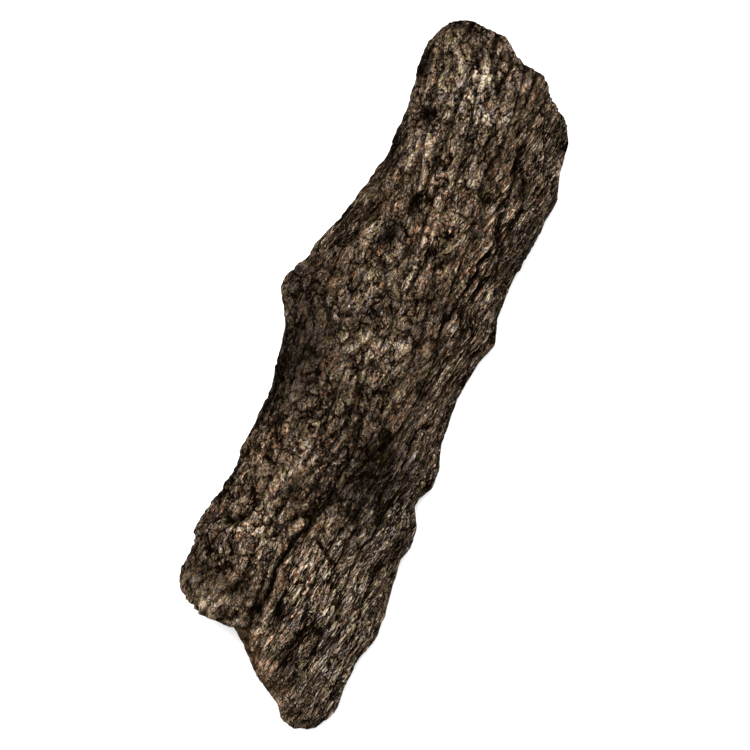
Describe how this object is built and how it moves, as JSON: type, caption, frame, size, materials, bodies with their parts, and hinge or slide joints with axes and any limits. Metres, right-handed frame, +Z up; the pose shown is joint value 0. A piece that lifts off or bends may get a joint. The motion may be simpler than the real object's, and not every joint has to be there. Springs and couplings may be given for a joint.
{
  "type": "tree bark",
  "caption": "Arched slab of furrowed tree bark with broken ends, hollow beneath, lying on its two long edges.",
  "frame": {"origin": "on the ground, under the middle of the slab's box", "axes": "+Y along the grain towards the blunt upper end, +X towards the sloping flank, +Z up out of the furrowed outer face"},
  "size_m": [0.1582, 0.5047, 0.0653],
  "materials": {
    "bark": "dry weathered outer bark, dull and rough, dark brown with tan plate tops"
  },
  "bodies": {
    "root": {"bark": "bark"}
  },
  "joints": []
}
